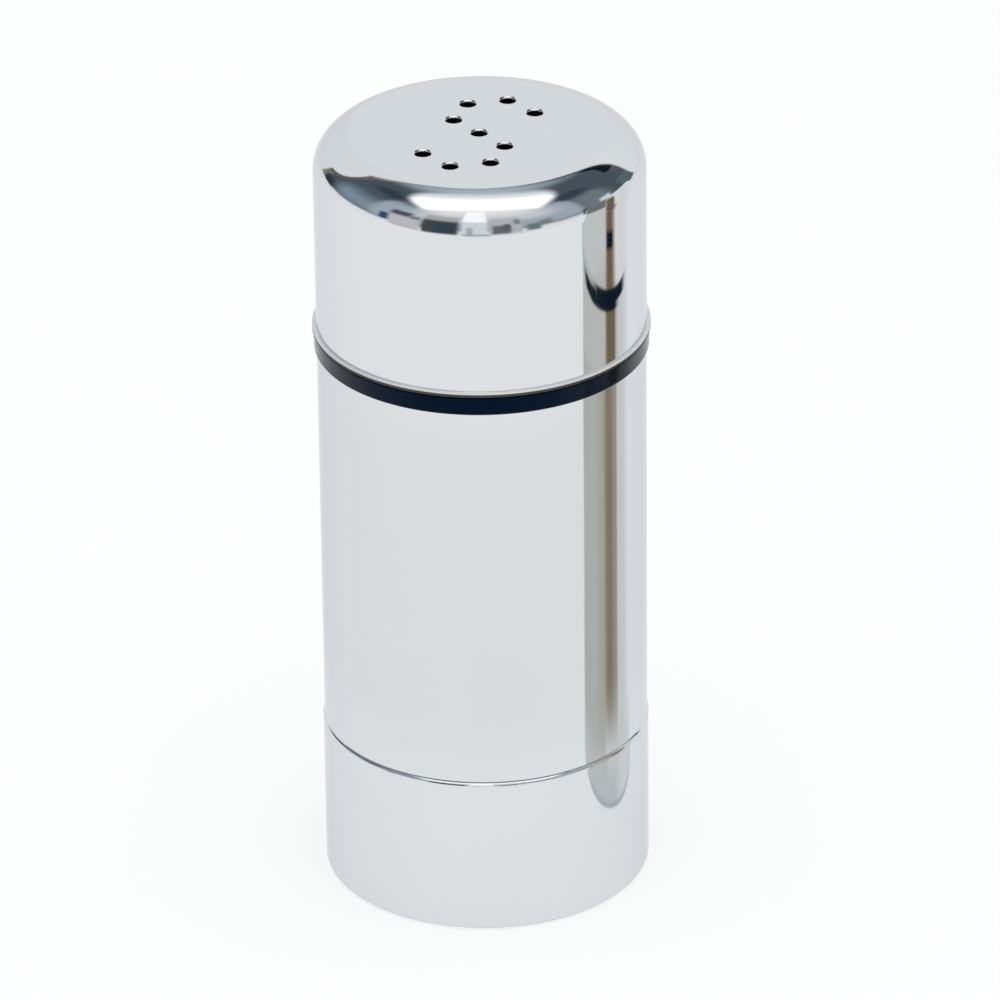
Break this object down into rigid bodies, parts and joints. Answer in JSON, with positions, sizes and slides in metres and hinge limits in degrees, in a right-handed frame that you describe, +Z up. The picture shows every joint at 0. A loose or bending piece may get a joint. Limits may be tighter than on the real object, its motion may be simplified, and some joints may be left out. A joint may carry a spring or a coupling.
{
  "type": "spice shaker",
  "caption": "Cylindrical stainless steel spice shaker with a perforated screw cap, a black seal ring, a plain body tube and a screw-off base cup for refilling.",
  "frame": {"origin": "centre of the base cup's standing face, on the surface that the shaker stands on", "axes": "+Z up along the shaker's axis, towards the pour holes; the S of pour holes reads upright, turned a little clockwise, when it is seen from above with +Y away and +X to the right"},
  "size_m": [0.043, 0.043, 0.1032],
  "materials": {
    "polished_steel": "mirror-polished stainless steel sheet",
    "black_plastic": "moulded black plastic, smooth",
    "black_rubber": "smooth black rubber with a soft shine",
    "clear_silicone": "pale translucent silicone"
  },
  "bodies": {
    "base": {"base_cup": "polished_steel", "base_plug": "black_plastic"},
    "gasket": {"base_gasket": "clear_silicone"},
    "body": {"body_tube": "polished_steel", "tail_insert": "black_plastic", "neck_insert": "black_plastic", "seal_ring": "black_rubber"},
    "seal": {"cap_seal": "clear_silicone"},
    "cap": {"cap_shell": "polished_steel", "cap_bush": "black_plastic"}
  },
  "joints": [
    {"name": "body_lift", "type": "slide", "parent": "base", "child": "gasket", "axis": [0, 0, 1], "range_m": [0, 0.0105]},
    {"name": "body_twist", "type": "hinge", "parent": "gasket", "child": "body", "pos_m": [0, 0, 0.0216], "axis": [0, 0, 1], "range_deg": [0, 1260]},
    {"name": "cap_lift", "type": "slide", "parent": "body", "child": "seal", "axis": [0, 0, 1], "range_m": [0, 0.0105]},
    {"name": "cap_twist", "type": "hinge", "parent": "seal", "child": "cap", "pos_m": [0, 0, 0.0768], "axis": [0, 0, 1], "range_deg": [0, 1260]}
  ],
  "couplings": [
    {"joint": "body_lift", "follows": "body_twist", "m_per_rad": 0.00047746},
    {"joint": "cap_lift", "follows": "cap_twist", "m_per_rad": 0.00047746}
  ]
}
